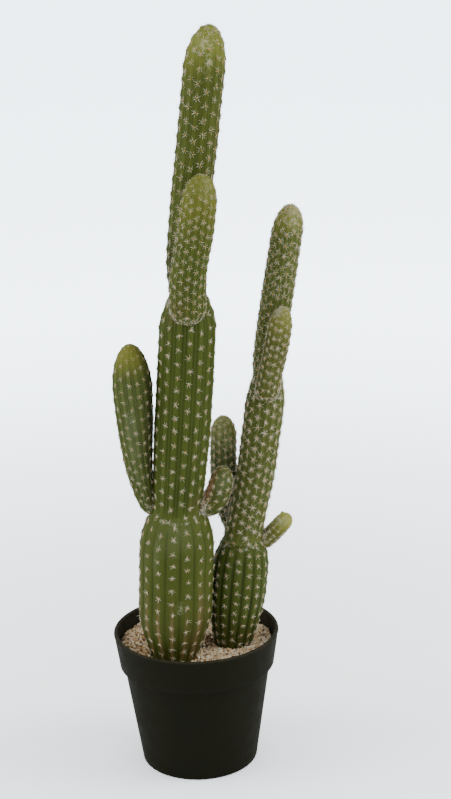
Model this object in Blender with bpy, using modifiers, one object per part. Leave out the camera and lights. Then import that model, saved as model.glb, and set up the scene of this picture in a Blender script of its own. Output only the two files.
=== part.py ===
"""Potted columnar cactus with two jointed plants and six arms, in metres, +Z up.

The origin is the centre of the pot's flat underside. The front of the plant faces -Y.
"""

import math
from dataclasses import dataclass

import bpy
from mathutils import Vector

# Clearance between pieces that touch
GAP = 0.0003

# Pot: a turned plastic nursery pot with a deep rim band and a small lip
POT_HEIGHT = 0.1430
RIM_RADIUS = 0.0848
LIP_THICKNESS = 0.0044
LIP_HEIGHT = 0.0045
LIP_PROUD = 0.0006
BAND_FOOT_Z = 0.1075
BAND_FOOT_RADIUS = 0.0797
BAND_ROUNDING = 0.0022
BAND_UNDERCUT_ANGLE = 60.0
BODY_TOP_Z = 0.1035
BODY_TOP_RADIUS = 0.0750
BASE_RADIUS = 0.0598
BASE_ROUNDING = 0.0022
WALL = 0.0026
FLOOR = 0.0030

# How finely the turned pieces are cut
TURN_STEPS = 56
LIP_STEPS = 6
BAND_STEPS = 2
BASE_STEPS = 3
MERGE_DISTANCE = 0.00002

# Filling: a cast block low in the pot, and a layer of gravel on it
FILL_TOP_Z = 0.1000
GRAVEL_TOP_Z = 0.1275

# How finely the stems are lofted
CUTTER_SIDES = 32
RINGS_IN_A_FOOT = 5
RINGS_IN_A_SHAFT = 3
RINGS_IN_A_TOP = 6
SAMPLES_IN_A_SPAN = 24
DIRECTION_SHARE = 0.01
GROOVE_FADE = 2.0

# Colour and roughness of the plain finishes
STEM_FINISH = (0.115, 0.150, 0.030), 0.60
ARM_FINISH = (0.150, 0.190, 0.040), 0.60
POT_FINISH = (0.022, 0.024, 0.020), 0.55
FILL_FINISH = (0.300, 0.290, 0.270), 0.90
GRAVEL_FINISH = (0.560, 0.480, 0.380), 0.85


@dataclass
class Stem:
    """One length of stem: its centre line, its radii along it, and its ribs.

    The body swells from foot_radius over foot_run, tapers evenly from low_radius to
    high_radius, and closes over top_run to top_radius. A radius of 0 is a rounded end.
    A fullness of 1 is a straight cone, and 2 is a round shoulder.
    """

    path: tuple
    low_radius: float
    high_radius: float
    foot_radius: float
    foot_run: float
    top_radius: float
    top_run: float
    ribs: int
    groove: float
    foot_fullness: float = 1.5
    top_fullness: float = 1.8
    first_rib: float = 0.0
    upright: bool = True
    clear_of: tuple = ()


# Where one length of each plant stands on the length below it
LEFT_NECK = Vector((-0.0145, -0.0300, 0.2850))
LEFT_SHOULDER = Vector((0.0032, -0.0245, 0.5005))
RIGHT_NECK = Vector((0.0505, -0.0040, 0.2430))
RIGHT_SHOULDER = Vector((0.0786, -0.0005, 0.4105))
STEP_UP = Vector((0.0, 0.0, GAP))

# Both plants have a barrel, a middle length, a top and three arms
STEMS = {
    "left_base": Stem(
        path=((-0.0240, -0.0300, FILL_TOP_Z + GAP), LEFT_NECK),
        low_radius=0.0371, high_radius=0.0372,
        foot_radius=0.0120, foot_run=0.0750, foot_fullness=1.3,
        top_radius=0.0246, top_run=0.0440, top_fullness=2.3,
        ribs=16, groove=0.0016, first_rib=-5.8,
    ),
    "left_middle": Stem(
        path=(
            LEFT_NECK + STEP_UP, (-0.0072, -0.0300, 0.3610),
            (0.0012, -0.0290, 0.4600), LEFT_SHOULDER,
        ),
        low_radius=0.0277, high_radius=0.0276,
        foot_radius=0.0243, foot_run=0.0750, foot_fullness=1.2,
        top_radius=0.0174, top_run=0.0320, top_fullness=1.5,
        ribs=16, groove=0.0013, first_rib=5.7,
    ),
    "left_top": Stem(
        path=(
            LEFT_SHOULDER + STEP_UP, (0.0038, -0.0180, 0.5450),
            (0.0177, -0.0160, 0.6530), (0.0304, -0.0160, 0.7510),
        ),
        low_radius=0.0192, high_radius=0.0197,
        foot_radius=0.0172, foot_run=0.0300,
        top_radius=0.0, top_run=0.0400,
        ribs=15, groove=0.0010, first_rib=-12.0,
    ),
    "left_front_arm": Stem(
        path=(
            (0.0020, -0.0440, 0.4735), (0.0040, -0.0500, 0.5200),
            (0.0128, -0.0508, 0.5690), (0.0204, -0.0508, 0.6184),
        ),
        low_radius=0.0170, high_radius=0.0166,
        foot_radius=0.0, foot_run=0.0220,
        top_radius=0.0, top_run=0.0300,
        ribs=17, groove=0.0009, first_rib=-2.0, upright=False,
        clear_of=("left_middle", "left_top"),
    ),
    "left_side_arm": Stem(
        path=(
            (-0.0300, -0.0300, 0.2848), (-0.0428, -0.0300, 0.2905), (-0.0500, -0.0300, 0.3250),
            (-0.0524, -0.0300, 0.3700), (-0.0545, -0.0300, 0.4540),
        ),
        low_radius=0.0185, high_radius=0.0194,
        foot_radius=0.0060, foot_run=0.1100, foot_fullness=1.3,
        top_radius=0.0, top_run=0.0450,
        ribs=15, groove=0.0009, first_rib=-5.0, upright=False,
        clear_of=("left_base", "left_middle"),
    ),
    "left_stub_arm": Stem(
        path=((0.0000, -0.0300, 0.2820), (0.0228, -0.0300, 0.2935), (0.0335, -0.0300, 0.3265)),
        low_radius=0.0124, high_radius=0.0118,
        foot_radius=0.0090, foot_run=0.0200,
        top_radius=0.0, top_run=0.0200,
        ribs=10, groove=0.0007, upright=False, clear_of=("left_base", "left_middle"),
    ),
    "right_base": Stem(
        path=((0.0345, -0.0040, FILL_TOP_Z + GAP), RIGHT_NECK),
        low_radius=0.0289, high_radius=0.0289,
        foot_radius=0.0120, foot_run=0.0850, foot_fullness=1.5,
        top_radius=0.0189, top_run=0.0420, top_fullness=2.4,
        ribs=16, groove=0.0014, first_rib=-7.0,
    ),
    "right_middle": Stem(
        path=(
            RIGHT_NECK + STEP_UP, (0.0650, -0.0040, 0.3120),
            (0.0761, -0.0040, 0.3870), RIGHT_SHOULDER,
        ),
        low_radius=0.0191, high_radius=0.0194,
        foot_radius=0.0187, foot_run=0.0150,
        top_radius=0.0138, top_run=0.0280, top_fullness=1.4,
        ribs=16, groove=0.0010, first_rib=4.0,
    ),
    "right_top": Stem(
        path=(
            RIGHT_SHOULDER + STEP_UP, (0.0872, 0.0025, 0.4710),
            (0.1007, 0.0030, 0.5510), (0.1047, 0.0030, 0.5783),
        ),
        low_radius=0.0158, high_radius=0.0153,
        foot_radius=0.0137, foot_run=0.0200,
        top_radius=0.0, top_run=0.0300,
        ribs=17, groove=0.0008, first_rib=-3.0,
    ),
    "right_front_arm": Stem(
        path=(
            (0.0750, -0.0120, 0.3850), (0.0798, -0.0205, 0.4120),
            (0.0888, -0.0230, 0.4520), (0.0944, -0.0230, 0.4835),
        ),
        low_radius=0.0114, high_radius=0.0115,
        foot_radius=0.0, foot_run=0.0180,
        top_radius=0.0, top_run=0.0220,
        ribs=13, groove=0.0007, first_rib=1.0, upright=False,
        clear_of=("right_middle", "right_top"),
    ),
    "right_side_arm": Stem(
        path=((0.0580, -0.0040, 0.2350), (0.0750, -0.0040, 0.2400), (0.0985, -0.0040, 0.2640)),
        low_radius=0.0084, high_radius=0.0083,
        foot_radius=0.0070, foot_run=0.0150,
        top_radius=0.0, top_run=0.0120,
        ribs=9, groove=0.0005, upright=False, clear_of=("right_base", "right_middle"),
    ),
    "right_back_arm": Stem(
        path=(
            (0.0500, 0.0040, 0.2340), (0.0400, 0.0150, 0.2560),
            (0.0340, 0.0165, 0.3000), (0.0343, 0.0165, 0.3645),
        ),
        low_radius=0.0132, high_radius=0.0130,
        foot_radius=0.0070, foot_run=0.0600,
        top_radius=0.0, top_run=0.0220,
        ribs=13, groove=0.0007, first_rib=-20.0, upright=False,
        clear_of=("right_base", "right_middle"),
    ),
}


def clear_scene():
    for old in list(bpy.data.objects):
        bpy.data.objects.remove(old, do_unlink=True)


def new_collection(name):
    collection = bpy.data.collections.new(name)
    bpy.context.scene.collection.children.link(collection)
    return collection


def new_finish(name, colour, roughness):
    finish = bpy.data.materials.new(name)
    finish.use_nodes = True
    shader = finish.node_tree.nodes["Principled BSDF"]
    shader.inputs["Base Color"].default_value = (*colour, 1.0)
    shader.inputs["Roughness"].default_value = roughness
    shader.inputs["Metallic"].default_value = 0.0
    return finish


def new_object(name, points, edges, faces, collection):
    mesh = bpy.data.meshes.new(name)
    mesh.from_pydata(points, edges, faces)
    mesh.update()
    piece = bpy.data.objects.new(name, mesh)
    collection.objects.link(piece)
    return piece


def point_on_path(path, fraction):
    """A point on the smooth curve that passes through every point of the path."""
    spans = len(path) - 1
    index = min(int(fraction * spans), spans - 1)
    t = fraction * spans - index
    start, end = path[index], path[index + 1]
    before = path[index - 1] if index > 0 else start * 2 - end
    after = path[index + 2] if index + 2 <= spans else end * 2 - start
    bend = before * 2 - start * 5 + end * 4 - after
    twist = start * 3 - before - end * 3 + after
    return (start * 2 + (end - before) * t + bend * t ** 2 + twist * t ** 3) / 2


def centre_line(stem):
    """Evenly sampled points of the stem's centre line, with the length up to each."""
    path = [Vector(point) for point in stem.path]
    count = SAMPLES_IN_A_SPAN * (len(path) - 1)
    points = [point_on_path(path, i / count) for i in range(count + 1)]
    lengths = [0.0]
    for here, there in zip(points, points[1:]):
        lengths.append(lengths[-1] + (there - here).length)
    return points, lengths


def at_length(points, lengths, wanted):
    """The point of the centre line that lies the wanted length from its foot."""
    if wanted <= 0.0:
        return points[0] + (points[1] - points[0]).normalized() * wanted
    if wanted >= lengths[-1]:
        return points[-1] + (points[-1] - points[-2]).normalized() * (wanted - lengths[-1])
    index = next(i for i, length in enumerate(lengths) if length > wanted) - 1
    share = (wanted - lengths[index]) / (lengths[index + 1] - lengths[index])
    return points[index].lerp(points[index + 1], share)


def swell(share, end_radius, fullness):
    """How far a closing end has reached its full radius, from 0 to 1."""
    share = min(max(share, 0.0), 1.0)
    if end_radius == 0.0:
        return math.sqrt(1.0 - (1.0 - share) ** 2)
    return 1.0 - (1.0 - share) ** fullness


def radius_at(stem, along, length):
    shaft = (along - stem.foot_run) / (length - stem.foot_run - stem.top_run)
    full = stem.low_radius + (stem.high_radius - stem.low_radius) * min(max(shaft, 0.0), 1.0)
    foot = swell(along / stem.foot_run, stem.foot_radius, stem.foot_fullness)
    top = swell((length - along) / stem.top_run, stem.top_radius, stem.top_fullness)
    radius = stem.foot_radius + (full - stem.foot_radius) * foot
    return stem.top_radius + (radius - stem.top_radius) * top


def ring_lengths(stem, length):
    """Where the loft's rings lie, closer together towards a rounded end."""
    rings = []
    for i in range(RINGS_IN_A_FOOT):
        rings.append(stem.foot_run * (1.0 - math.cos(i / RINGS_IN_A_FOOT * math.pi / 2)))
    shaft = length - stem.foot_run - stem.top_run
    rings += [stem.foot_run + shaft * i / RINGS_IN_A_SHAFT for i in range(RINGS_IN_A_SHAFT)]
    for i in range(RINGS_IN_A_TOP + 1):
        share = i / RINGS_IN_A_TOP
        if stem.top_radius == 0.0:
            share = math.sin(share * math.pi / 2)
        rings.append(length - stem.top_run * (1.0 - share))
    return rings


def ring_axes(stem, points, lengths, along):
    """Two directions across the stem: to its right, and away from the front."""
    if stem.upright:
        return Vector((1.0, 0.0, 0.0)), Vector((0.0, 1.0, 0.0))
    step = lengths[-1] * DIRECTION_SHARE
    ahead = at_length(points, lengths, along + step) - at_length(points, lengths, along - step)
    right = Vector((0.0, 1.0, 0.0)).cross(ahead).normalized()
    return right, ahead.cross(right).normalized()


def rib_ring(stem, centre, axes, radius, groove, sides):
    """One ring of the loft, with a rib's crest at each even side and a groove at each odd one."""
    right, back = axes
    ring = []
    for side in range(sides):
        angle = math.radians(stem.first_rib - 90.0) + math.tau * side / sides
        reach = radius - (groove if side % 2 else 0.0)
        ring.append(centre + right * math.cos(angle) * reach + back * math.sin(angle) * reach)
    return ring


def bridge(low, high, sides):
    """The faces between two rings, either of which may be a single point."""
    faces = []
    for side in range(sides):
        after = (side + 1) % sides
        if len(low) == 1:
            faces.append((low[0], high[after], high[side]))
        elif len(high) == 1:
            faces.append((low[side], low[after], high[0]))
        else:
            faces.append((low[side], low[after], high[after], high[side]))
    return faces


def skin(name, rings, sides, collection):
    """A closed body over its rings, capped flat where an end ring is not a point."""
    vertices, faces, indices = [], [], []
    for ring in rings:
        indices.append(list(range(len(vertices), len(vertices) + len(ring))))
        vertices += ring
    for low, high in zip(indices, indices[1:]):
        faces += bridge(low, high, sides)
    if len(indices[0]) > 1:
        faces.append(tuple(reversed(indices[0])))
    if len(indices[-1]) > 1:
        faces.append(tuple(indices[-1]))
    return new_object(name, vertices, [], faces, collection)


def make_stem(name, stem, collection):
    """The ribbed body of one length of stem."""
    points, lengths = centre_line(stem)
    length = lengths[-1]
    sides = stem.ribs * 2
    rings = []
    for along in ring_lengths(stem, length):
        centre = at_length(points, lengths, along)
        radius = max(radius_at(stem, along, length), 0.0)
        if radius < MERGE_DISTANCE:
            rings.append([centre])
            continue
        groove = stem.groove * min(1.0, radius / stem.low_radius) ** GROOVE_FADE
        axes = ring_axes(stem, points, lengths, along)
        rings.append(rib_ring(stem, centre, axes, radius, groove, sides))
    return skin(name, rings, sides, collection)


def make_clearance(name, stem, collection):
    """A smooth body round one length of stem that cuts its neighbours just clear of it."""
    points, lengths = centre_line(stem)
    length = lengths[-1]
    outward = 1.0 / math.cos(math.pi / CUTTER_SIDES)
    stations = ring_lengths(stem, length)
    rings = []
    for along in stations:
        overrun = 0.0
        if along == stations[0]:
            overrun = -GAP * 2
        if along == stations[-1]:
            overrun = GAP * 2
        centre = at_length(points, lengths, along + overrun)
        radius = (radius_at(stem, along, length) + GAP) * outward
        axes = ring_axes(stem, points, lengths, along)
        rings.append(rib_ring(stem, centre, axes, radius, 0.0, CUTTER_SIDES))
    return skin(name, rings, CUTTER_SIDES, collection)


def cut(piece, cutter, solver="EXACT"):
    cutter.display_type = "WIRE"
    cutter.hide_render = True
    modifier = piece.modifiers.new("clear_" + cutter.name, "BOOLEAN")
    modifier.operation = "DIFFERENCE"
    modifier.solver = solver
    modifier.object = cutter


def turned(name, profile, collection):
    """A solid turned about Z from a profile that runs down its outer side."""
    points = [(radius, 0.0, height) for radius, height in profile]
    edges = [(i, i + 1) for i in range(len(points) - 1)]
    piece = new_object(name, points, edges, [], collection)
    screw = piece.modifiers.new("turn", "SCREW")
    screw.steps = TURN_STEPS
    screw.render_steps = TURN_STEPS
    screw.use_merge_vertices = True
    screw.merge_threshold = MERGE_DISTANCE
    screw.use_smooth_shade = True
    return piece


def arc(centre_radius, centre_height, size, start, end, steps):
    """Profile points on an arc, its angles in degrees from the outward direction."""
    points = []
    for i in range(steps + 1):
        angle = math.radians(start + (end - start) * i / steps)
        points.append((centre_radius + size * math.cos(angle), centre_height + size * math.sin(angle)))
    return points


# Height and radius where the pot's inner wall changes its slope
INNER_WALL = (
    (0.0, BASE_RADIUS - WALL),
    (BODY_TOP_Z, BODY_TOP_RADIUS - WALL),
    (BAND_FOOT_Z, BAND_FOOT_RADIUS - WALL),
    (POT_HEIGHT, RIM_RADIUS - LIP_THICKNESS),
)


def inner_radius(height):
    """The pot's inner wall: the body's taper low down, and the band's above it."""
    for (low, low_radius), (high, high_radius) in zip(INNER_WALL, INNER_WALL[1:]):
        if height <= high:
            return low_radius + (high_radius - low_radius) * (height - low) / (high - low)
    return INNER_WALL[-1][1]


def filling_profile(low, high):
    """What fills the pot between two heights, just clear of the inner wall."""
    kinks = [height for height, _ in reversed(INNER_WALL) if low < height < high]
    sides = [(inner_radius(height) - GAP, height) for height in [high] + kinks + [low]]
    return [(0.0, high)] + sides + [(0.0, low)]


def make_pot(collection):
    lip_size = LIP_THICKNESS / 2
    band_centre = BAND_FOOT_RADIUS - BAND_ROUNDING
    base_centre = BASE_RADIUS - BASE_ROUNDING
    profile = [(0.0, FLOOR), (inner_radius(FLOOR), FLOOR)]
    profile += [(radius, height) for height, radius in INNER_WALL[1:3]]
    profile += arc(RIM_RADIUS - lip_size, POT_HEIGHT - lip_size, lip_size, 180.0, 0.0, LIP_STEPS)
    profile.append((RIM_RADIUS - LIP_PROUD, POT_HEIGHT - LIP_HEIGHT))
    profile += arc(band_centre, BAND_FOOT_Z, BAND_ROUNDING, 0.0, -BAND_UNDERCUT_ANGLE, BAND_STEPS)
    profile.append((BODY_TOP_RADIUS, BODY_TOP_Z))
    profile += arc(base_centre, BASE_ROUNDING, BASE_ROUNDING, 0.0, -90.0, BASE_STEPS)
    profile.append((0.0, 0.0))
    return turned("pot", profile, collection)


def make_fill(collection):
    return turned("cast_fill", filling_profile(FLOOR + GAP, FILL_TOP_Z), collection)


def make_gravel(collection, clearances):
    gravel = turned("gravel_layer", filling_profile(FILL_TOP_Z + GAP, GRAVEL_TOP_Z), collection)
    cut(gravel, clearances["left_base"])
    cut(gravel, clearances["right_base"])
    return gravel


def build():
    clear_scene()
    cactus = new_collection("potted_cactus")
    cutters = new_collection("cutters")
    cut_by = sorted({name for stem in STEMS.values() for name in stem.clear_of})
    clearances = {name: make_clearance("round_" + name, STEMS[name], cutters) for name in cut_by}

    pieces = {
        "pot": (make_pot(cactus), POT_FINISH),
        "cast_fill": (make_fill(cactus), FILL_FINISH),
        "gravel_layer": (make_gravel(cactus, clearances), GRAVEL_FINISH),
    }
    for name, stem in STEMS.items():
        body = make_stem(name, stem, cactus)
        for other in stem.clear_of:
            cut(body, clearances[other], solver="MANIFOLD")
        pieces[name] = (body, ARM_FINISH if stem.clear_of else STEM_FINISH)

    for name, (piece, finish) in pieces.items():
        piece.data.materials.append(new_finish(name + "_finish", *finish))


build()
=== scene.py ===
"""Potted columnar cactus in metres, +Z up: two jointed plants with six arms, in a pot of gravel.

The origin is the centre of the pot's flat underside. The front of the plant faces -Y.
"""

import math
from dataclasses import dataclass

import bpy
import numpy as np
from mathutils import Matrix, Vector


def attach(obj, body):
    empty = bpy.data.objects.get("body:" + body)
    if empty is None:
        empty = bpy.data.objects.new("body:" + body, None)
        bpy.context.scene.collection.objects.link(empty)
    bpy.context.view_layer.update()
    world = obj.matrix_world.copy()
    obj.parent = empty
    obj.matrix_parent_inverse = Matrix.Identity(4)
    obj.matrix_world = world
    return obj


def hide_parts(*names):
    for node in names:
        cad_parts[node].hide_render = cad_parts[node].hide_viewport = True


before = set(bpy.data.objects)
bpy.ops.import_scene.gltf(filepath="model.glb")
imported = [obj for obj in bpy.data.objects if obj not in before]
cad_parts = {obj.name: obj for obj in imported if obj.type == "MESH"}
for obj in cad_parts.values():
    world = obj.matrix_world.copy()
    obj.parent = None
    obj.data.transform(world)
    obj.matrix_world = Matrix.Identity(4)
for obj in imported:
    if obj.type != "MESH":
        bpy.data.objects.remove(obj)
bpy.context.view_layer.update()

BODY = "root"
SEED = 27


# ---- Stems: the named sizes of the CAD, and what dresses each skin

@dataclass
class Stem:
    """One length of stem: centre line, radii along it, ribs, and how its skin is dressed.

    The body swells from foot_radius over foot_run, tapers evenly from low_radius to
    high_radius, and closes over top_run to top_radius. A radius of 0 is a rounded end.
    """

    path: tuple
    low_radius: float
    high_radius: float
    foot_radius: float
    foot_run: float
    top_radius: float
    top_run: float
    ribs: int
    groove: float
    areole_step: float
    foot_fullness: float = 1.5
    top_fullness: float = 1.8
    first_rib: float = 0.0
    twist: float = 0.0
    upright: bool = True
    clear_of: tuple = ()
    flare: float = 0.0
    valley: float = 0.33
    valley_width: float = 0.085
    stagger: float = 0.38
    row_shifts: tuple = ()
    spine_length: float = 0.0043
    knob: float = 0.00035
    lower_run: float = 0.0
    young_run: float = 0.0
    neck_step: float = 0.0075
    tip_scale: float = 0.62
    tip_spines: float = 0.62
    finish: str = "column"
    slot: str = "stem_skin"


FILL_TOP_Z = 0.1003
LEFT_NECK = (-0.0145, -0.0300, 0.2850)
LEFT_SHOULDER = (0.0032, -0.0245, 0.5005)
RIGHT_NECK = (0.0505, -0.0040, 0.2430)
RIGHT_SHOULDER = (0.0786, -0.0005, 0.4105)

STEMS = {
    "left_base": Stem(
        path=((-0.0240, -0.0300, FILL_TOP_Z), LEFT_NECK),
        low_radius=0.0371, high_radius=0.0372,
        foot_radius=0.0120, foot_run=0.0750, foot_fullness=1.3,
        top_radius=0.0246, top_run=0.0440, top_fullness=2.3,
        ribs=16, groove=0.0013, first_rib=-5.8, areole_step=0.0131,
        valley=0.5, valley_width=0.065, lower_run=0.125, finish="broad_barrel",
        row_shifts=(0.60, 0.22, 0.02, 0.68, 0.26, 0.86, 0.50),
    ),
    "left_middle": Stem(
        path=(LEFT_NECK, (-0.0072, -0.0300, 0.3610), (0.0012, -0.0290, 0.4600), LEFT_SHOULDER),
        low_radius=0.0277, high_radius=0.0276,
        foot_radius=0.0243, foot_run=0.0750, foot_fullness=1.2, flare=0.0023,
        top_radius=0.0174, top_run=0.0320, top_fullness=1.5,
        ribs=16, groove=0.0012, first_rib=5.7, areole_step=0.0135,
        row_shifts=(0.26, 0.80, 0.34, 0.82, 0.40, 0.70, 0.20),
    ),
    "left_top": Stem(
        path=(
            LEFT_SHOULDER, (0.0038, -0.0180, 0.5450),
            (0.0177, -0.0160, 0.6530), (0.0304, -0.0160, 0.7510),
        ),
        low_radius=0.0192, high_radius=0.0197,
        foot_radius=0.0172, foot_run=0.0300, flare=0.0017,
        top_radius=0.0, top_run=0.0400,
        ribs=15, groove=0.0007, first_rib=-12.0, areole_step=0.0133,
        row_shifts=(0.15, 0.74, 0.32, 0.98, 0.32, 0.70, 0.26), knob=0.0007, tip_spines=0.9, tip_scale=0.68, young_run=0.056,
        spine_length=0.0049, finish="crown",
    ),
    "left_front_arm": Stem(
        path=(
            (0.0020, -0.0440, 0.4735), (0.0040, -0.0500, 0.5200),
            (0.0128, -0.0508, 0.5690), (0.0204, -0.0508, 0.6184),
        ),
        low_radius=0.0170, high_radius=0.0166,
        foot_radius=0.0, foot_run=0.0220,
        top_radius=0.0, top_run=0.0300,
        ribs=17, groove=0.0007, first_rib=-2.0, areole_step=0.0094,
        upright=False, clear_of=("left_middle", "left_top"), stagger=0.5,
        row_shifts=(0.72, 0.38, 0.88, 0.30, 0.94, 0.54, 0.44),
        knob=0.0005, young_run=0.075, spine_length=0.0040, finish="olive_arm", slot="arm_skin",
    ),
    "left_side_arm": Stem(
        path=(
            (-0.0300, -0.0300, 0.2848), (-0.0428, -0.0300, 0.2905), (-0.0500, -0.0300, 0.3250),
            (-0.0524, -0.0300, 0.3700), (-0.0545, -0.0300, 0.4540),
        ),
        low_radius=0.0185, high_radius=0.0194,
        foot_radius=0.0060, foot_run=0.1100, foot_fullness=1.3,
        top_radius=0.0, top_run=0.0450,
        ribs=15, groove=0.0011, first_rib=24.0, twist=-218.0, areole_step=0.0120,
        upright=False, clear_of=("left_base", "left_middle"),
        row_shifts=(0.30, 0.82, 0.34, 0.84, 0.88, 0.22, 0.70),
        young_run=0.036, spine_length=0.0036, tip_scale=0.44, tip_spines=0.50, finish="side_arm", slot="arm_skin",
    ),
    "left_stub_arm": Stem(
        path=((0.0000, -0.0300, 0.2820), (0.0228, -0.0300, 0.2935), (0.0335, -0.0300, 0.3265)),
        low_radius=0.0124, high_radius=0.0118,
        foot_radius=0.0090, foot_run=0.0200,
        top_radius=0.0, top_run=0.0200,
        ribs=10, groove=0.0004, areole_step=0.0090,
        upright=False, clear_of=("left_base", "left_middle"), stagger=0.5,
        finish="arm", slot="arm_skin",
    ),
    "right_base": Stem(
        path=((0.0345, -0.0040, FILL_TOP_Z), RIGHT_NECK),
        low_radius=0.0289, high_radius=0.0289,
        foot_radius=0.0120, foot_run=0.0850, foot_fullness=1.5,
        top_radius=0.0189, top_run=0.0420, top_fullness=2.4,
        ribs=16, groove=0.0017, first_rib=-7.0, areole_step=0.0110,
        valley=0.5, valley_width=0.130, lower_run=0.075, neck_step=0.0046, finish="ribbed_barrel",
        row_shifts=(0.50, 0.98, 0.10, 0.48, 0.00, 0.82, 0.66),
    ),
    "right_middle": Stem(
        path=(RIGHT_NECK, (0.0650, -0.0040, 0.3120), (0.0761, -0.0040, 0.3870), RIGHT_SHOULDER),
        low_radius=0.0191, high_radius=0.0194,
        foot_radius=0.0187, foot_run=0.0150, flare=0.0020,
        top_radius=0.0138, top_run=0.0280, top_fullness=1.4,
        ribs=16, groove=0.0008, first_rib=4.0, areole_step=0.0111,
        row_shifts=(0.90, 0.46, 0.86, 0.30, 0.78, 0.34, 0.85), spine_length=0.0053,
        neck_step=0.0050, finish="net_column",
    ),
    "right_top": Stem(
        path=(
            RIGHT_SHOULDER, (0.0872, 0.0025, 0.4710),
            (0.1007, 0.0030, 0.5510), (0.1047, 0.0030, 0.5783),
        ),
        low_radius=0.0158, high_radius=0.0153,
        foot_radius=0.0137, foot_run=0.0200, flare=0.0010,
        top_radius=0.0, top_run=0.0300,
        ribs=17, groove=0.0006, first_rib=-3.0, areole_step=0.0104,
        row_shifts=(0.10, 0.62, 0.04, 0.54, 0.80, 0.36, 0.94), knob=0.0006, tip_spines=0.9, tip_scale=0.68, young_run=0.034,
        spine_length=0.0051, finish="pale_column",
    ),
    "right_front_arm": Stem(
        path=(
            (0.0750, -0.0120, 0.3850), (0.0798, -0.0205, 0.4120),
            (0.0888, -0.0230, 0.4520), (0.0944, -0.0230, 0.4835),
        ),
        low_radius=0.0114, high_radius=0.0115,
        foot_radius=0.0, foot_run=0.0180,
        top_radius=0.0, top_run=0.0220,
        ribs=13, groove=0.0005, first_rib=1.0, areole_step=0.0085,
        upright=False, clear_of=("right_middle", "right_top"), stagger=0.5,
        spine_length=0.0042, young_run=0.040, finish="pale_arm", slot="arm_skin",
    ),
    "right_side_arm": Stem(
        path=((0.0580, -0.0040, 0.2350), (0.0750, -0.0040, 0.2400), (0.0985, -0.0040, 0.2640)),
        low_radius=0.0087, high_radius=0.0088,
        foot_radius=0.0072, foot_run=0.0150,
        top_radius=0.0, top_run=0.0120,
        ribs=9, groove=0.0004, areole_step=0.0052,
        upright=False, clear_of=("right_base", "right_middle"), stagger=0.5,
        spine_length=0.0036, young_run=0.026, finish="yellow_arm", slot="arm_skin",
    ),
    "right_back_arm": Stem(
        path=(
            (0.0500, 0.0040, 0.2340), (0.0400, 0.0150, 0.2560),
            (0.0340, 0.0165, 0.3000), (0.0343, 0.0165, 0.3645),
        ),
        low_radius=0.0132, high_radius=0.0130,
        foot_radius=0.0070, foot_run=0.0600,
        top_radius=0.0, top_run=0.0220,
        ribs=13, groove=0.0006, first_rib=-20.0, areole_step=0.0090,
        upright=False, clear_of=("right_base", "right_middle"), stagger=0.5,
        row_shifts=(0.50, 0.00, 0.60, 0.20, 0.52, 0.68, 0.22),
        young_run=0.050, spine_length=0.0050, finish="frosted_arm", slot="arm_skin",
    ),
}

# How finely skins are cut: between rings, and round one rib
SPAN = 0.0013
STEPS_IN_A_RIB = 12
SAMPLES_IN_A_SPAN = 24
PROBE = 0.0002
# A length that stands on another starts this far down, flared to meet the shoulder below
SUNK_FOOT = 0.0035
FLARE_RUN = 0.0050


def smooth_step(low, high, value):
    share = np.clip((value - low) / (high - low), 0.0, 1.0)
    return share * share * (3.0 - 2.0 * share)


def unit(vectors):
    return vectors / np.maximum(np.linalg.norm(vectors, axis=-1, keepdims=True), 1e-12)


def ripple(points, size, seed, waves=9):
    """Smooth random values from about -1 to 1 over points; size is the usual width of a patch."""
    dice = np.random.default_rng(seed)
    total = np.zeros(points.shape[:-1])
    for _ in range(waves):
        way = unit(dice.normal(size=3)) * (math.tau / size) * dice.uniform(0.55, 1.45)
        total += np.sin(points @ way + dice.uniform(0.0, math.tau))
    return total * math.sqrt(2.0 / waves) * 0.6


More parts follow.
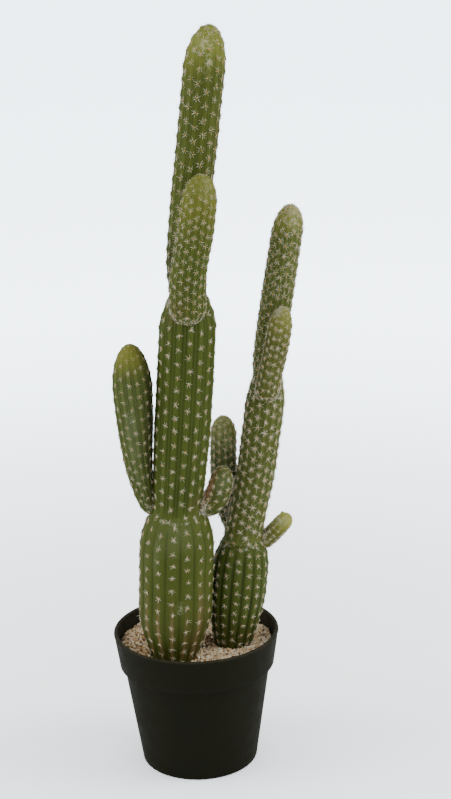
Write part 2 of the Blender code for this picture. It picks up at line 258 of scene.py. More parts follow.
class Skin:
    """Gives points on one stem's skin, by the run along its centre line and the turn round it.

    A turn is in degrees from -Y towards +X.
    """

    def __init__(self, name, stem, seed):
        self.name, self.stem, self.seed = name, stem, seed
        knots = np.array(stem.path, dtype=float)
        knots = np.vstack([2 * knots[0] - knots[1], knots, 2 * knots[-1] - knots[-2]])
        share = np.arange(SAMPLES_IN_A_SPAN)[:, None] / SAMPLES_IN_A_SPAN
        spans = []
        for before, start, end, after in zip(knots, knots[1:], knots[2:], knots[3:]):
            bend = before * 2 - start * 5 + end * 4 - after
            twist = start * 3 - before - end * 3 + after
            spans.append((start * 2 + (end - before) * share + bend * share**2 + twist * share**3) / 2)
        self.line = np.vstack(spans + [knots[-2:-1]])
        self.runs = np.r_[0.0, np.cumsum(np.linalg.norm(np.diff(self.line, axis=0), axis=1))]
        self.length = self.runs[-1]
        # The way up the skin, which is longer than the centre line where the skin slopes
        self.fine = np.linspace(0.0, self.length, 1500)
        climb = np.hypot(np.diff(self.fine), np.diff(self.radius(self.fine)))
        self.climbs = np.r_[0.0, np.cumsum(climb)]
        self.probes = self.centre(self.fine[::6])
        self.probe_radii = self.radius(self.fine[::6])

    def centre(self, along):
        along = np.asarray(along, dtype=float)
        inside = np.stack([np.interp(along, self.runs, self.line[:, k]) for k in range(3)], axis=-1)
        below = np.minimum(along, 0.0)[..., None] * unit(self.line[1] - self.line[0])
        above = np.maximum(along - self.length, 0.0)[..., None] * unit(self.line[-1] - self.line[-2])
        return inside + below + above

    def radius(self, along):
        stem = self.stem
        shaft = self.length - stem.foot_run - stem.top_run
        share = np.clip((along - stem.foot_run) / shaft, 0.0, 1.0)
        full = stem.low_radius + (stem.high_radius - stem.low_radius) * share
        foot = self.swell(along / stem.foot_run, stem.foot_radius, stem.foot_fullness)
        top = self.swell((self.length - along) / stem.top_run, stem.top_radius, stem.top_fullness)
        lower = stem.foot_radius + (full - stem.foot_radius) * foot
        lower = lower + stem.flare * np.exp(-np.maximum(along + SUNK_FOOT, 0.0) / FLARE_RUN)
        return stem.top_radius + (lower - stem.top_radius) * top

    @staticmethod
    def swell(share, end_radius, fullness):
        share = np.clip(share, 0.0, 1.0)
        if end_radius == 0.0:
            return np.sqrt(1.0 - (1.0 - share) ** 2)
        return 1.0 - (1.0 - share) ** fullness

    def axes(self, along):
        along = np.asarray(along, dtype=float)
        if self.stem.upright:
            shape = along.shape + (3,)
            return np.broadcast_to([1.0, 0.0, 0.0], shape), np.broadcast_to([0.0, 1.0, 0.0], shape)
        reach = self.length * 0.01
        ahead = unit(self.centre(along + reach) - self.centre(along - reach))
        right = unit(np.cross([0.0, 1.0, 0.0], ahead))
        return right, unit(np.cross(ahead, right))

    def rib_turn(self, along):
        """Turn of the first rib's crest, which drifts along a twisted stem."""
        return self.stem.first_rib + self.stem.twist * np.asarray(along)

    def across(self, along, turn):
        """0 on the row of areoles of the nearest rib, and 0.5 midway to the next."""
        place = (turn - self.rib_turn(along)) * self.stem.ribs / 360.0
        return np.abs(place - np.round(place))

    def hold(self, along):
        """How fully the ribs stand out: less at a neck and at a tip."""
        stem = self.stem
        low = smooth_step(-0.2, 1.0, along / min(stem.foot_run, 0.020)) if stem.foot_radius < 0.014 else (
            smooth_step(-0.6, 1.0, along / 0.018)
        )
        reach = stem.top_run * 0.8
        top = smooth_step(-0.25, 1.0, (self.length - along) / reach)
        return low * top

    def hollow(self, along, turn):
        """Depth between the ribs, from 0 on a crest to 1 in a groove. Grooves come and go a little."""
        stem = self.stem
        across = self.across(along, turn)
        groove = np.exp(-(((across - stem.valley) / stem.valley_width) ** 2))
        angle = np.radians(turn)
        drum = np.stack([np.cos(angle), np.sin(angle), np.asarray(along) / 0.060], axis=-1)
        strength = 0.82 + 0.18 * np.clip(ripple(drum, 0.9, self.seed + 3), -1.0, 1.0)
        if stem.valley == 0.5:
            return (groove + 0.35 * (across / 0.5) ** 2 * (1.0 - groove)) * strength
        return (groove + 0.35 * smooth_step(0.28, 0.46, across) * (1.0 - groove)) * strength

    def point(self, along, turn):
        along, turn = np.broadcast_arrays(np.asarray(along, dtype=float), np.asarray(turn, dtype=float))
        radius = self.radius(along)
        fit = np.minimum(1.0, radius / (0.6 * self.stem.low_radius))
        radius = radius - self.stem.groove * self.hold(along) * fit * self.hollow(along, turn)
        right, behind = self.axes(along)
        angle = np.radians(turn - 90.0)[..., None]
        spoke = right * np.cos(angle) + behind * np.sin(angle)
        centre = self.centre(along)
        uneven = ripple(centre + spoke * self.stem.low_radius, 0.045, self.seed) * 0.00025
        return centre + spoke * np.maximum(radius + uneven * fit * self.hold(along), 0.0)[..., None]

    def normal(self, along, turn):
        step = PROBE / np.maximum(self.radius(along), PROBE * 4)
        up = self.point(along + PROBE, turn) - self.point(along - PROBE, turn)
        round_ = self.point(along, turn + np.degrees(step)) - self.point(along, turn - np.degrees(step))
        return unit(np.cross(round_, up))

    def ripeness(self, along):
        """0 at a growing tip, where areoles are small and close, to 1 on grown skin."""
        if self.stem.top_radius > 0.0:
            return np.ones(np.shape(along))
        return smooth_step(0.0, np.clip(self.stem.young_run, 0.012, 0.024), self.length - along)

    def along_at(self, climb):
        return np.interp(climb, self.climbs, self.fine)

    def depth(self, points):
        """How far points lie inside this stem; less than 0 outside."""
        points = np.atleast_2d(points)
        gaps = np.linalg.norm(points[:, None] - self.probes[None], axis=2)
        nearest = gaps.argmin(axis=1)
        return self.probe_radii[nearest] - gaps[np.arange(len(points)), nearest]


SKINS = {name: Skin(name, stem, SEED + 10 * i) for i, (name, stem) in enumerate(STEMS.items())}


# ---- Pieces

def new_piece(name, points, faces, material, smooth=True, replaces=()):
    """A mesh piece that rides on the body and wears one material."""
    mesh = bpy.data.meshes.new(name)
    faces = faces.tolist() if isinstance(faces, np.ndarray) else faces
    mesh.from_pydata(points.tolist(), [], faces)
    mesh.materials.append(material)
    mesh.polygons.foreach_set("use_smooth", np.full(len(mesh.polygons), smooth))
    mesh.update()
    piece = bpy.data.objects.new(name, mesh)
    bpy.context.scene.collection.objects.link(piece)
    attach(piece, BODY)
    if replaces:
        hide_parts(*replaces)
    return piece


def paint(piece, name, values):
    """A float on each point of the mesh, for a material to read."""
    layer = piece.data.attributes.new(name, "FLOAT", "POINT")
    layer.data.foreach_set("value", np.asarray(values, dtype=np.float32).ravel())


# ---- Areoles: the woolly dots in rows on the ribs, each with its star of spines

WOOL_RADIUS = 0.00108
BUD_SHARE = 0.66
GRAVEL_LEVEL = 0.1285


def row_start(skin, rib):
    """How far up the skin a rib's first areole is, as a share of the step between areoles."""
    shifts = skin.stem.row_shifts
    middle = len(shifts) // 2
    place = (rib + middle) % skin.stem.ribs
    if place < len(shifts):
        return shifts[place]
    return (rib * skin.stem.stagger) % 1.0


def areoles_on(skin, dice):
    """Run and turn of each areole that shows, a step apart along each rib."""
    stem = skin.stem
    kept, spots = np.empty((0, 3)), []
    others = [other for other in SKINS.values() if other is not skin]
    for rib in range(stem.ribs):
        climb = stem.areole_step * (0.15 + row_start(skin, rib))
        while climb < skin.climbs[-1] - 0.0010:
            along = float(skin.along_at(climb))
            ripe = skin.ripeness(along)
            shift = dice.uniform(-0.07, 0.07) * stem.areole_step
            along = float(skin.along_at(np.clip(climb + shift, 0.0, skin.climbs[-1] - 0.0008)))
            turn = float(skin.rib_turn(along)) + 360.0 * rib / stem.ribs + dice.uniform(-1.5, 1.5)
            climb += stem.areole_step * (stem.tip_scale + (1.0 - stem.tip_scale) * ripe)
            place = skin.point(along, turn)
            room = 0.42 * stem.areole_step * (0.75 + 0.25 * ripe)
            if len(kept) and np.linalg.norm(kept - place, axis=1).min() < room:
                continue
            if place[2] < GRAVEL_LEVEL or any(other.depth(place)[0] > 0.0006 for other in others):
                continue
            kept = np.vstack([kept, place])
            spots.append((along, turn))
    return np.array(spots)


@dataclass
class Tufts:
    """Roots of wool and spines, gathered over one plant."""

    roots: list
    normals: list
    ups: list
    lengths: list
    kinds: list

    def add(self, skin, along, turn, length, kind):
        self.roots.append(skin.point(along, turn))
        self.normals.append(skin.normal(along, turn))
        self.ups.append(unit(skin.point(along + PROBE, turn) - skin.point(along - PROBE, turn)))
        self.lengths.append(np.full(np.shape(along), length))
        self.kinds.append(np.full(np.shape(along), kind))

    def joined(self):
        return [np.concatenate(part) for part in (self.roots, self.normals, self.ups, self.lengths, self.kinds)]


def bristles(roots, ways, curls, lengths, widths):
    """Three-sided bristles that taper to a point and bend by their curls."""
    helper = np.where(np.abs(ways[:, 2:3]) > 0.8, [[1.0, 0.0, 0.0]], [[0.0, 0.0, 1.0]])
    side = unit(np.cross(ways, helper))
    other = np.cross(ways, side)
    rings = []
    for share, girth in ((0.0, 1.0), (0.5, 0.72)):
        middle = roots + (ways * share + curls * share**2) * lengths[:, None]
        for corner in range(3):
            angle = math.tau * corner / 3
            rings.append(middle + (side * math.cos(angle) + other * math.sin(angle)) * (widths * girth / 2)[:, None])
    rings.append(roots + (ways + curls) * lengths[:, None])
    points = np.stack(rings, axis=1)
    pattern = [(i, (i + 1) % 3, 3 + (i + 1) % 3) for i in range(3)]
    pattern += [(i, 3 + (i + 1) % 3, 3 + i) for i in range(3)]
    pattern += [(3 + i, 3 + (i + 1) % 3, 6) for i in range(3)]
    faces = np.array(pattern)[None] + 7 * np.arange(len(roots))[:, None, None]
    return points.reshape(-1, 3), faces.reshape(-1, 3)


def stars(roots, normals, ups, lengths, dice, low=7, high=11):
    """Spines that spread from each root in a flat uneven star, some with one erect."""
    sides = np.cross(ups, normals)
    parts = []
    for root, normal, up, side, length in zip(roots, normals, ups, sides, lengths):
        count = int(dice.integers(low, high + 1))
        first = dice.uniform(0.0, math.tau)
        bunch = dice.uniform(0.0, math.tau)
        for spine in range(count):
            angle = first + math.tau * spine / count + dice.uniform(-0.30, 0.30)
            lift = math.radians(dice.uniform(8.0, 30.0))
            if spine == 0 and dice.random() < 0.30:
                lift = math.radians(dice.uniform(50.0, 80.0))
            flat = side * math.cos(angle) + up * math.sin(angle)
            way = flat * math.cos(lift) + normal * math.sin(lift)
            reach = length * dice.uniform(0.70, 1.18) * (1.0 + 0.14 * math.cos(angle - bunch))
            curl = normal * dice.uniform(-0.16, 0.10) + side * dice.uniform(-0.12, 0.12) + up * dice.uniform(-0.12, 0.12)
            parts.append(np.concatenate([root - normal * 0.0002, way, curl, [reach, length * dice.uniform(0.082, 0.124)]]))
    table = np.array(parts)
    return table[:, 0:3], table[:, 3:6], table[:, 6:9], table[:, 9], table[:, 10]


def wool_cushions(roots, normals, ups, radius, dice, sides=7):
    """Low rounded cushions of wool, one on each root."""
    across = np.cross(ups, normals)
    size = (dice.uniform(0.80, 1.20, len(roots)) * radius)[:, None]
    rings = []
    for height, girth in ((-0.35, 1.0), (0.32, 0.82)):
        for corner in range(sides):
            angle = math.tau * corner / sides
            uneven = size * girth * dice.uniform(0.85, 1.15, len(roots))[:, None]
            rings.append(
                roots + normals * size * height
                + (across * math.cos(angle) + ups * math.sin(angle) * 1.25) * uneven
            )
    rings.append(roots + normals * size * 0.62)
    points = np.stack(rings, axis=1)
    pattern = []
    for i in range(sides):
        after = (i + 1) % sides
        pattern += [(i, after, sides + after), (i, sides + after, sides + i)]
        pattern.append((sides + i, sides + after, 2 * sides))
    faces = np.array(pattern)[None] + (2 * sides + 1) * np.arange(len(roots))[:, None, None]
    return points.reshape(-1, 3), faces.reshape(-1, 3)


# ---- Skins

def skin_mesh(skin, spots, material):
    """The stem's skin, with ribs, grooves and a low knob under each areole."""
    stem = skin.stem
    rings = max(12, int(round(skin.climbs[-1] / SPAN)))
    climbs = np.linspace(0.0, skin.climbs[-1], rings + 1)[:-1]
    alongs = skin.along_at(climbs)
    alongs = np.r_[-SUNK_FOOT, -SUNK_FOOT / 2, alongs] if stem.flare else alongs
    closed_top = stem.top_radius > 0.0
    if closed_top:
        alongs = np.r_[alongs, skin.length]
    sides = stem.ribs * STEPS_IN_A_RIB
    turns = skin.rib_turn(alongs)[:, None] + np.arange(sides)[None] * 360.0 / sides
    grid = np.broadcast_to(alongs[:, None], turns.shape)
    points = skin.point(grid, turns)
    normals = skin.normal(grid, turns)
    heights = np.zeros(turns.shape)
    if len(spots):
        seats = skin.point(spots[:, 0], spots[:, 1])
        for row in range(len(alongs)):
            near = seats[np.abs(spots[:, 0] - alongs[row]) < 0.009]
            if len(near):
                gaps = np.linalg.norm(points[row][:, None] - near[None], axis=2)
                heights[row] = np.exp(-((gaps / 0.0021) ** 2)).max(axis=1)
    relief = heights * stem.knob
    for along, turn, rise, width in BUMPS.get(skin.name, ()):
        gaps = np.linalg.norm(points - skin.point(along, turn), axis=2)
        relief = relief + rise * np.exp(-((gaps / width) ** 2))
    shape = points + normals * relief[..., None]

    foot = skin.centre(alongs[0])
    tip = skin.centre(skin.length)
    vertices = np.vstack([shape.reshape(-1, 3), foot, tip])
    count = len(alongs)
    index = np.arange(count * sides).reshape(count, sides)
    after = np.roll(index, -1, axis=1)
    quads = np.stack([index[:-1], after[:-1], after[1:], index[1:]], axis=-1).reshape(-1, 4).tolist()
    bottom, top = count * sides, count * sides + 1
    caps = [(bottom, int(b), int(a)) for a, b in zip(index[0], after[0])]
    caps += [(top, int(a), int(b)) for a, b in zip(index[-1], after[-1])]
    mesh_faces = quads + caps

    mesh = bpy.data.meshes.new(skin.name + "_skin")
    mesh.from_pydata(vertices.tolist(), [], mesh_faces)
    mesh.materials.append(material)
    mesh.polygons.foreach_set("use_smooth", np.full(len(mesh.polygons), True))
    mesh.update()
    piece = bpy.data.objects.new(skin.name + "_skin", mesh)
    bpy.context.scene.collection.objects.link(piece)
    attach(piece, BODY)
    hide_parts(skin.name)

    ends = lambda values, low, high: np.r_[values.ravel(), low, high]
    hold = np.clip(skin.hold(grid) * 1.25, 0.0, 1.0)
    left = skin.length - grid
    lower_part = np.zeros(turns.shape)
    if stem.lower_run:
        lower_part = smooth_step(stem.lower_run, stem.lower_run * 0.25, grid)
    youth = np.zeros(turns.shape)
    if stem.young_run:
        youth = smooth_step(stem.young_run, stem.young_run * 0.15, left)
    paint(piece, "hollow", ends(skin.hollow(grid, turns) * hold, 0.5, 0.0))
    paint(piece, "row", ends(np.exp(-((skin.across(grid, turns) / 0.13) ** 2)), 0.0, 0.0))
    paint(piece, "lower_part", ends(lower_part, 1.0 if stem.lower_run else 0.0, 0.0))
    paint(piece, "youth", ends(youth, 0.0, 1.0 if stem.young_run else 0.0))
    paint(piece, "knob", ends(heights, 0.0, 0.0))
    patches = PATCHES.get(skin.name, ())
    for layer in ("bloom", "haze_and_sheen", "cork", "brown", "tan", "shade"):
        cover = np.zeros(turns.shape)
        for kind, along, turn, long_, wide, strength in patches:
            if kind == layer:
                spread = (np.mod(turns - turn + 180.0, 360.0) - 180.0) / wide
                cover = np.maximum(cover, strength * np.exp(-(((grid - along) / long_) ** 2) - spread**2))
        paint(piece, layer, ends(cover, 0.0, 0.0))
    return piece


# Nubs on a skin: run along the stem, turn, height, half width
BUMPS = {"right_side_arm": ((0.0475, -96.0, 0.0026, 0.0017),)}

# Marks on a skin: kind, run along the stem, turn, half length, half width in degrees, strength. The shade marks are
# painted shade, and the haze marks are partly pale bloom and partly a painted sheen.
PATCHES = {
    "left_base": (
        ("brown", 0.034, 48.0, 0.024, 11.0, 0.9),
        ("brown", 0.075, 47.0, 0.030, 5.0, 0.8),
        ("brown", 0.050, 28.0, 0.020, 9.0, 0.55),
        # This brown strip down the left flank is a painted reflection of warm light bounced onto that edge.
        ("brown", 0.110, -82.0, 0.060, 10.0, 0.6),
        ("tan", 0.058, -28.3, 0.034, 2.5, 0.95),
        ("tan", 0.052, -5.8, 0.032, 2.5, 0.95),
        ("tan", 0.050, 16.7, 0.026, 2.2, 0.55),
        ("tan", 0.066, 39.2, 0.034, 3.0, 0.70),
        ("tan", 0.066, -50.8, 0.040, 2.6, 0.60),
        ("bloom", 0.093, 7.0, 0.0050, 5.0, 0.5),
        ("haze_and_sheen", 0.166, -2.0, 0.016, 30.0, 0.36),
        ("haze_and_sheen", 0.150, -34.0, 0.022, 6.0, 0.35),
    ),
    "left_top": (
        ("shade", 0.030, -62.0, 0.030, 28.0, 0.65), ("shade", 0.030, 66.0, 0.030, 28.0, 0.65),
        ("brown", 0.130, 66.0, 0.080, 16.0, 0.40),
        ("bloom", 0.238, -8.0, 0.009, 24.0, 1.0), ("bloom", 0.220, 8.0, 0.010, 11.0, 0.8),
    ),
    "left_side_arm": (
        ("haze_and_sheen", 0.085, -12.0, 0.050, 24.0, 0.55),
        ("shade", 0.100, 72.0, 0.085, 32.0, 0.90),
        ("brown", 0.014, 60.0, 0.012, 40.0, 0.60),
    ),
    "left_middle": (("brown", 0.204, -36.0, 0.012, 16.0, 0.60), ("brown", 0.010, 40.0, 0.008, 14.0, 0.5)),
    "left_front_arm": (("brown", 0.022, -30.0, 0.016, 30.0, 0.40), ("bloom", 0.136, 20.0, 0.010, 30.0, 0.35)),
    "left_stub_arm": (
        ("cork", 0.008, -60.0, 0.014, 36.0, 1.0),
        ("cork", 0.034, -66.0, 0.020, 22.0, 1.0),
        ("haze_and_sheen", 0.046, -4.0, 0.012, 36.0, 0.55),
    ),
    "right_top": (("bloom", 0.158, 18.0, 0.009, 20.0, 0.9), ("bloom", 0.168, 70.0, 0.005, 50.0, 0.3)),
    "right_front_arm": (("bloom", 0.098, -50.0, 0.006, 46.0, 1.0), ("tan", 0.060, 60.0, 0.030, 14.0, 0.30)),
    "right_side_arm": (
        ("bloom", 0.0425, -50.0, 0.006, 50.0, 1.3),
        ("bloom", 0.036, -90.0, 0.009, 34.0, 0.9),
        ("brown", 0.022, 80.0, 0.030, 30.0, 0.8),
    ),
    "right_back_arm": (("bloom", 0.116, -10.0, 0.018, 50.0, 0.50), ("shade", 0.030, 0.0, 0.040, 120.0, 0.70)),
}


# ---- Shader groups

def add_node(tree, kind, **values):
    """A node with its properties and its plain input values set."""
    node = tree.nodes.new(kind)
    for key, value in values.items():
        if hasattr(node, key):
            setattr(node, key, value)
        else:
            node.inputs[key.replace("_", " ")].default_value = value
    return node


def new_group(name, inputs, outputs):
    """A shader node group with named sockets."""
    group = bpy.data.node_groups.new(name, "ShaderNodeTree")
    for label, kind, value in inputs:
        socket = group.interface.new_socket(label, in_out="INPUT", socket_type=kind)
        socket.default_value = value
    for label, kind in outputs:
        group.interface.new_socket(label, in_out="OUTPUT", socket_type=kind)
    return group, group.nodes.new("NodeGroupInput"), group.nodes.new("NodeGroupOutput")


FLOAT, COLOUR = "NodeSocketFloat", "NodeSocketColor"


def cloud_group():
    """Soft uneven values between two limits, in patches of a given size."""
    group, given, result = new_group(
        "soft patches",
        [("Size", FLOAT, 0.01), ("Low", FLOAT, 0.0), ("High", FLOAT, 1.0), ("Detail", FLOAT, 3.0)],
        [("Value", FLOAT)],
    )
    links = group.links
    place = add_node(group, "ShaderNodeTexCoord")
    scale = add_node(group, "ShaderNodeMath", operation="DIVIDE")
    scale.inputs[0].default_value = 1.0
    links.new(given.outputs["Size"], scale.inputs[1])
    noise = add_node(group, "ShaderNodeTexNoise")
    links.new(place.outputs["Object"], noise.inputs["Vector"])
    links.new(scale.outputs[0], noise.inputs["Scale"])
    links.new(given.outputs["Detail"], noise.inputs["Detail"])
    spread = add_node(group, "ShaderNodeMapRange")
    spread.inputs["From Min"].default_value = 0.32
    spread.inputs["From Max"].default_value = 0.68
    links.new(noise.outputs[0], spread.inputs["Value"])
    links.new(given.outputs["Low"], spread.inputs["To Min"])
    links.new(given.outputs["High"], spread.inputs["To Max"])
    links.new(spread.outputs[0], result.inputs["Value"])
    return group


def dust_group(clouds):
    """Fine pale dust that settles on what faces up, in uneven patches."""
    group, given, result = new_group(
        "settled dust",
        [("Color", COLOUR, (0.5, 0.5, 0.5, 1.0)), ("Dust", COLOUR, (0.4, 0.38, 0.33, 1.0)), ("Amount", FLOAT, 0.2)],
        [("Color", COLOUR)],
    )
    links = group.links
    facing = add_node(group, "ShaderNodeNewGeometry")
    split = add_node(group, "ShaderNodeSeparateXYZ")
    links.new(facing.outputs["Normal"], split.inputs[0])
    upward = add_node(group, "ShaderNodeMapRange")
    upward.inputs["From Min"].default_value = -0.4
    links.new(split.outputs["Z"], upward.inputs["Value"])
    patches = add_node(group, "ShaderNodeGroup", node_tree=clouds)
    patches.inputs["Size"].default_value = 0.012
    patches.inputs["Low"].default_value = 0.3
    cover = add_node(group, "ShaderNodeMath", operation="MULTIPLY")
    links.new(upward.outputs[0], cover.inputs[0])
    links.new(patches.outputs["Value"], cover.inputs[1])
    amount = add_node(group, "ShaderNodeMath", operation="MULTIPLY", use_clamp=True)
    links.new(cover.outputs[0], amount.inputs[0])
    links.new(given.outputs["Amount"], amount.inputs[1])
    mix = add_node(group, "ShaderNodeMix", data_type="RGBA")
    links.new(amount.outputs[0], mix.inputs[0])
    links.new(given.outputs["Color"], mix.inputs[6])
    links.new(given.outputs["Dust"], mix.inputs[7])
    links.new(mix.outputs[2], result.inputs["Color"])
    return group


def grain_group():
    """Height of a fine moulded or cellular grain, coarse and fine together."""
    group, given, result = new_group(
        "fine grain", [("Coarse", FLOAT, 0.002), ("Fine", FLOAT, 0.0006)], [("Height", FLOAT)]
    )
    links = group.links
    place = add_node(group, "ShaderNodeTexCoord")
    total = add_node(group, "ShaderNodeMath", operation="ADD")
    for slot, label in enumerate(("Coarse", "Fine")):
        scale = add_node(group, "ShaderNodeMath", operation="DIVIDE")
        scale.inputs[0].default_value = 1.0
        links.new(given.outputs[label], scale.inputs[1])
        noise = add_node(group, "ShaderNodeTexNoise")
        noise.inputs["Detail"].default_value = 2.0
        links.new(place.outputs["Object"], noise.inputs["Vector"])
        links.new(scale.outputs[0], noise.inputs["Scale"])
        links.new(noise.outputs[0], total.inputs[slot])
    links.new(total.outputs[0], result.inputs["Height"])
    return group


CLOUDS = cloud_group()
DUST = dust_group(CLOUDS)
GRAIN = grain_group()


class Finish:
    """One material: a chain of colour layers, then roughness and a fine bump."""

    def __init__(self, name, colour, roughness, gloss=0.2):
        self.material = bpy.data.materials.new(name)
        self.material.use_nodes = True
        self.tree = self.material.node_tree
        self.shader = self.tree.nodes["Principled BSDF"]
        self.shader.inputs["Roughness"].default_value = roughness
        self.shader.inputs["Specular IOR Level"].default_value = gloss
        self.shader.inputs["Base Color"].default_value = (*colour, 1.0)
        self.colour = None
        self.start = (*colour, 1.0)

    def link(self, out, into):
        self.tree.links.new(out, into)

    def painted(self, name):
        node = add_node(self.tree, "ShaderNodeAttribute", attribute_name=name)
        return node.outputs["Fac"]

    def patches(self, size, low, high, detail=3.0):
        node = add_node(self.tree, "ShaderNodeGroup", node_tree=CLOUDS)
        for label, value in (("Size", size), ("Low", low), ("High", high), ("Detail", detail)):
            node.inputs[label].default_value = value
        return node.outputs["Value"]

    def times(self, first, second, operation="MULTIPLY"):
        node = add_node(self.tree, "ShaderNodeMath", operation=operation, use_clamp=True)
        for slot, value in enumerate((first, second)):
            if isinstance(value, (int, float)):
                node.inputs[slot].default_value = value
            else:
                self.link(value, node.inputs[slot])
        return node.outputs[0]

    def layer(self, colour, amount, blend="MIX"):
        """Lays a colour over what is there, by an amount that may vary over the surface."""
        mix = add_node(self.tree, "ShaderNodeMix", data_type="RGBA", blend_type=blend)
        if isinstance(amount, (int, float)):
            mix.inputs[0].default_value = amount
        else:
            self.link(amount, mix.inputs[0])
        if self.colour is None:
            mix.inputs[6].default_value = self.start
        else:
            self.link(self.colour, mix.inputs[6])
        mix.inputs[7].default_value = (*colour, 1.0)
        self.colour = mix.outputs[2]

    def dust(self, colour, amount):
        node = add_node(self.tree, "ShaderNodeGroup", node_tree=DUST)
        if self.colour is None:
            node.inputs["Color"].default_value = self.start
        else:
            self.link(self.colour, node.inputs["Color"])
        node.inputs["Dust"].default_value = (*colour, 1.0)
        node.inputs["Amount"].default_value = amount
        self.colour = node.outputs["Color"]

    def finish(self, coarse=0.002, fine=0.0006, bump=0.15, depth=0.0003, rough=None):
        if self.colour is not None:
            self.link(self.colour, self.shader.inputs["Base Color"])
        if rough is not None:
            self.link(rough, self.shader.inputs["Roughness"])
        grain = add_node(self.tree, "ShaderNodeGroup", node_tree=GRAIN)
        grain.inputs["Coarse"].default_value = coarse
        grain.inputs["Fine"].default_value = fine
        relief = add_node(self.tree, "ShaderNodeBump")
        relief.inputs["Strength"].default_value = bump
        relief.inputs["Distance"].default_value = depth
        self.link(grain.outputs["Height"], relief.inputs["Height"])
        self.link(relief.outputs["Normal"], self.shader.inputs["Normal"])
        return self.material


def skin_finish(name, ridge, groove, tip, shade):
    """Waxy green skin: darker grooves, young tips, brown rows low down, bloom, cork, painted shade, and a grey-green
    haze that is partly pale bloom and partly a painted sheen.
    """
    roughness = 0.60
    skin = Finish(name, ridge, roughness, 0.14)
    skin.layer((ridge[0] * 1.30, ridge[1] * 1.22, ridge[2] * 1.15), skin.patches(0.016, 0.0, 0.55))
    skin.layer((ridge[0] * 0.70, ridge[1] * 0.78, ridge[2] * 0.75), skin.patches(0.0035, 0.0, 0.45))
    skin.layer(groove, skin.times(skin.painted("hollow"), shade))
    skin.layer(tip, skin.times(skin.painted("youth"), skin.patches(0.012, 0.65, 1.0)))
    rows = skin.times(skin.times(skin.painted("row"), skin.painted("lower_part")), skin.patches(0.020, 0.25, 1.0))
    skin.layer((0.150, 0.100, 0.040), rows)
    # Darker towards the foot of a barrel.
    skin.layer((ridge[0] * 0.62, ridge[1] * 0.58, ridge[2] * 0.60), skin.times(skin.painted("lower_part"), 0.58))
    skin.layer((0.022, 0.024, 0.010), skin.times(skin.painted("shade"), skin.patches(0.008, 0.6, 1.0)))
    skin.layer((0.120, 0.072, 0.028), skin.times(skin.painted("brown"), skin.patches(0.005, 0.15, 1.0)))
    skin.layer((0.240, 0.160, 0.070), skin.times(skin.painted("tan"), skin.patches(0.006, 0.45, 1.0)))
    # Grey-green haze over the skin: partly a pale waxy bloom, partly a painted sheen where the skin catches the light.
    skin.layer((0.170, 0.205, 0.100), skin.times(skin.painted("haze_and_sheen"), skin.patches(0.010, 0.35, 1.0, 5.0)))
    skin.layer((0.420, 0.450, 0.240), skin.times(skin.painted("bloom"), skin.patches(0.0030, -0.35, 1.0, 6.0)))
    skin.layer((0.420, 0.215, 0.115), skin.times(skin.painted("cork"), skin.patches(0.004, 0.7, 1.0)))
    return skin.finish(0.0016, 0.0005, 0.22, 0.0003, skin.patches(0.006, roughness - 0.05, roughness + 0.08))


# Colours of ridge, groove and young tip, and how strongly the grooves are shaded
SKIN_FINISHES = {
    name: skin_finish(name + "_skin", *looks) for name, looks in {
        "broad_barrel": ((0.070, 0.089, 0.012), (0.029, 0.043, 0.004), (0.18, 0.18, 0.02), 0.80),
        "ribbed_barrel": ((0.070, 0.092, 0.014), (0.020, 0.032, 0.004), (0.18, 0.18, 0.02), 0.97),
        "column": ((0.071, 0.093, 0.013), (0.031, 0.047, 0.005), (0.19, 0.18, 0.018), 0.88),
        "crown": ((0.086, 0.106, 0.016), (0.048, 0.065, 0.008), (0.205, 0.220, 0.034), 0.80),
        "net_column": ((0.108, 0.127, 0.027), (0.053, 0.068, 0.012), (0.26, 0.265, 0.058), 0.84),
        "pale_column": ((0.118, 0.139, 0.030), (0.058, 0.074, 0.014), (0.245, 0.255, 0.048), 0.80),
        "arm": ((0.078, 0.095, 0.015), (0.038, 0.051, 0.008), (0.20, 0.20, 0.034), 0.84),
        "olive_arm": ((0.086, 0.108, 0.016), (0.045, 0.062, 0.009), (0.160, 0.170, 0.023), 0.84),
        "side_arm": ((0.092, 0.114, 0.024), (0.038, 0.053, 0.009), (0.19, 0.192, 0.028), 0.95),
        "pale_arm": ((0.112, 0.126, 0.026), (0.060, 0.073, 0.013), (0.20, 0.205, 0.042), 0.80),
        "yellow_arm": ((0.115, 0.126, 0.024), (0.068, 0.080, 0.013), (0.32, 0.33, 0.055), 0.75),
        "frosted_arm": ((0.124, 0.150, 0.044), (0.032, 0.046, 0.013), (0.21, 0.23, 0.062), 0.94),
    }.items()
}


# ---- Dress the stems

dice = np.random.default_rng(SEED)
PLANTS = {"left": [n for n in STEMS if n.startswith("left")], "right": [n for n in STEMS if n.startswith("right")]}


def seam_roots(arm, dice):
    """Run and turn on an arm where it comes out of what it grows from, a little apart."""
    hosts = [SKINS[name] for name in arm.stem.clear_of]
    alongs = np.linspace(0.0, arm.length * 0.40, 160)
    turns = np.arange(0.0, 360.0, 4.0)
    found, last = [], None
    for turn in turns:
        points = arm.point(alongs, np.full(alongs.shape, turn))
        sunk = np.max([host.depth(points) for host in hosts], axis=0) > 0.0
        if not sunk.any() or sunk[-1]:
            continue
        place = int(np.nonzero(sunk)[0][-1]) + 1
        if last is None or np.linalg.norm(points[place] - last) > 0.0036:
            last = points[place]
            found.append((alongs[place] + dice.uniform(-0.0010, 0.0056), turn + dice.uniform(-8.0, 8.0)))
    return np.array(found)


def hair_patch(skin, along, turn, long_, wide, count, dice):
    """Runs and turns scattered over a patch of the skin."""
    alongs = np.clip(dice.normal(along, long_ / 2, count), 0.0, skin.length - 0.0006)
    return alongs, dice.normal(turn, wide / 2, count)


